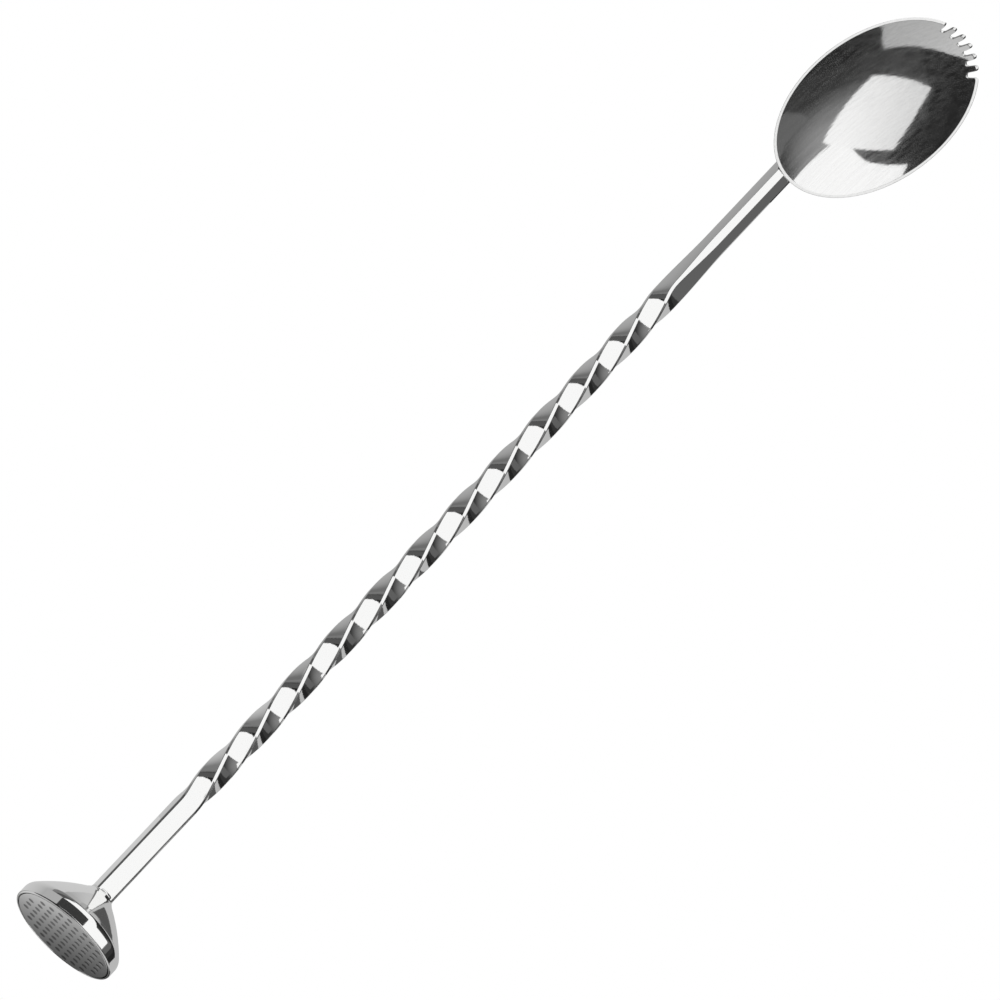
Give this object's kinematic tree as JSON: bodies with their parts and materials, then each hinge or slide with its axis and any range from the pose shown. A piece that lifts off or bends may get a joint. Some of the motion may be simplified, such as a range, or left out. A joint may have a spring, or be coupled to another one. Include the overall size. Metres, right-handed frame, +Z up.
{
  "type": "bar spoon",
  "caption": "Long bar spoon with a twisted square stem, a tipped-up bowl serrated at its tip, and a conical muddler with a dimpled flat face at the other end.",
  "frame": {"origin": "under the middle of the bounding box, on the surface the spoon lies on", "axes": "+X along the stem from the muddler to the bowl's tip, +Z up, out of the bowl's open side"},
  "size_m": [0.2812, 0.0346, 0.0253],
  "materials": {
    "stem_steel": "mirror-polished stainless bar with faint drawing lines along it",
    "bowl_steel": "polished pressed sheet, fine polishing lines along the bowl inside",
    "masher_steel": "mirror-polished turned stainless with faint turning lines",
    "face_steel": "polished flat face with small drilled dimples",
    "weld_steel": "weld metal ground and polished smooth"
  },
  "bodies": {
    "root": {"stem": "stem_steel", "bowl": "bowl_steel", "bowl_weld_bead": "weld_steel", "masher_cone": "masher_steel", "masher_face_plate": "face_steel", "neck_weld_bead": "weld_steel"}
  },
  "joints": []
}
